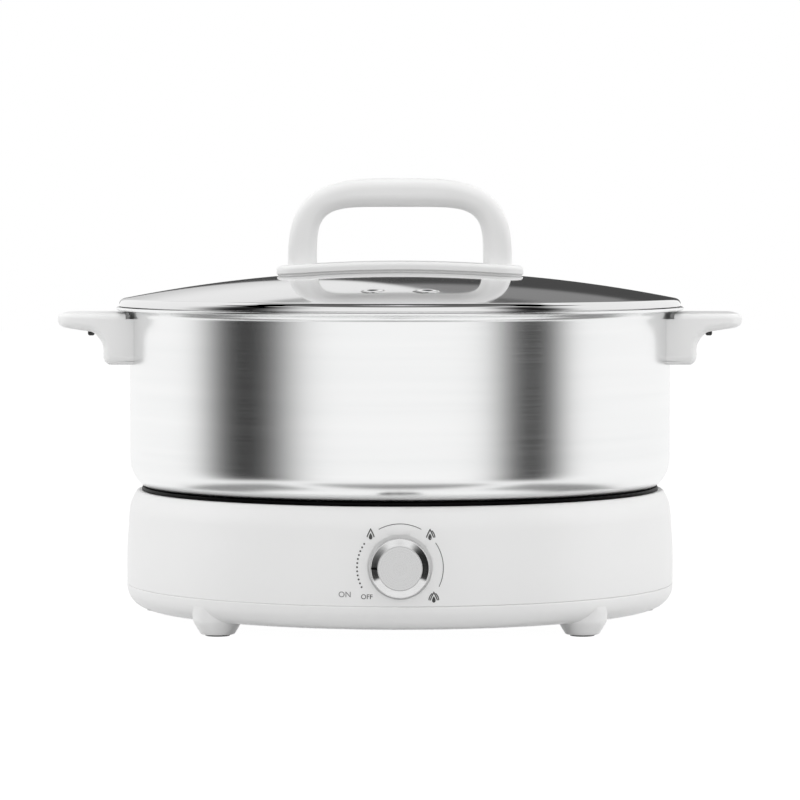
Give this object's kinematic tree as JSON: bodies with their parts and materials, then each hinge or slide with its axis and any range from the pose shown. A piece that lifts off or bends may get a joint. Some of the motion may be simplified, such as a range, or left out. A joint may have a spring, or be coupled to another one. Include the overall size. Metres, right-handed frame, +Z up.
{
  "type": "electric hot pot",
  "caption": "Round electric hot pot: a heated base with a front knob carries a wide steel pot with side handles and a domed lift-off lid with an arch handle.",
  "frame": {"origin": "on the table under the middle of the whole object", "axes": "+Z up along the pot's axis, -Y towards the user at the knob, +X to the right"},
  "size_m": [0.4054, 0.3419, 0.2608],
  "materials": {
    "white_plastic": "smooth gloss",
    "black_plastic": "satin",
    "pot_steel": "fine brushed",
    "lid_steel": "mirror polished",
    "knob_metal": "satin with a polished bevel",
    "cast_aluminium": "as cast, machined top",
    "plated_steel": "plated",
    "dark_screw": "blackened",
    "rubber_grey": "matte",
    "phenolic": "matte",
    "brass": "bright",
    "insulation": "matte",
    "lamp_lens": "clear gloss",
    "gasket_silicone": "matte"
  },
  "bodies": {
    "base": {"base_housing": "white_plastic", "base_pan": "white_plastic", "base_screws": "plated_steel", "support_ring": "black_plastic", "ring_screws": "dark_screw", "heating_plate": "cast_aluminium", "heating_tube": "plated_steel", "element_terminals": "plated_steel", "heat_shield": "plated_steel", "shield_screws": "plated_steel", "plate_studs": "plated_steel", "plate_spacers": "plated_steel", "plate_nuts": "plated_steel", "thermal_cutout": "phenolic", "sensor_guide": "plated_steel", "sensor_spring": "plated_steel", "power_control": "phenolic", "control_bracket": "plated_steel", "bracket_screws": "plated_steel", "indicator_lamp": "lamp_lens", "inlet_housing": "black_plastic", "inlet_pins": "brass", "inlet_screws": "plated_steel", "wire_live": "insulation", "wire_neutral": "insulation", "wire_element": "insulation", "wire_earth": "insulation", "foot_front_left": "white_plastic", "foot_pad_front_left": "rubber_grey", "foot_front_right": "white_plastic", "foot_pad_front_right": "rubber_grey", "foot_rear_left": "white_plastic", "foot_pad_rear_left": "rubber_grey", "foot_rear_right": "white_plastic", "foot_pad_rear_right": "rubber_grey"},
    "sensor": {"sensor_cup": "cast_aluminium", "sensor_bimetal": "phenolic"},
    "knob": {"knob_body": "knob_metal", "knob_cap": "knob_metal", "knob_pointer": "black_plastic", "control_shaft": "plated_steel"},
    "pot": {"pot_shell": "pot_steel", "pot_base_disc": "pot_steel", "side_handle_left": "white_plastic", "handle_bracket_left": "plated_steel", "handle_screw_left": "dark_screw", "side_handle_right": "white_plastic", "handle_bracket_right": "plated_steel", "handle_screw_right": "dark_screw"},
    "lid": {"lid_panel": "lid_steel", "lid_handle": "white_plastic", "handle_gasket": "gasket_silicone", "lid_handle_screws": "plated_steel", "lid_handle_washers": "plated_steel"}
  },
  "joints": [
    {"name": "knob_turn", "type": "hinge", "parent": "base", "child": "knob", "pos_m": [0, -0.165, 0.044], "axis": [0, -1, 0], "range_deg": [-221, 41]},
    {"name": "pot_lift", "type": "slide", "parent": "base", "child": "pot", "axis": [0, 0, 1], "range_m": [0, 0.1]},
    {"name": "lid_lift", "type": "slide", "parent": "pot", "child": "lid", "axis": [0, 0, 1], "range_m": [0, 0.12]},
    {"name": "sensor_press", "type": "slide", "parent": "base", "child": "sensor", "axis": [0, 0, 1], "range_m": [-0.002, 0], "stiffness_N_per_m": 400, "springref_m": 0.005, "deforming": ["sensor_spring"]}
  ]
}
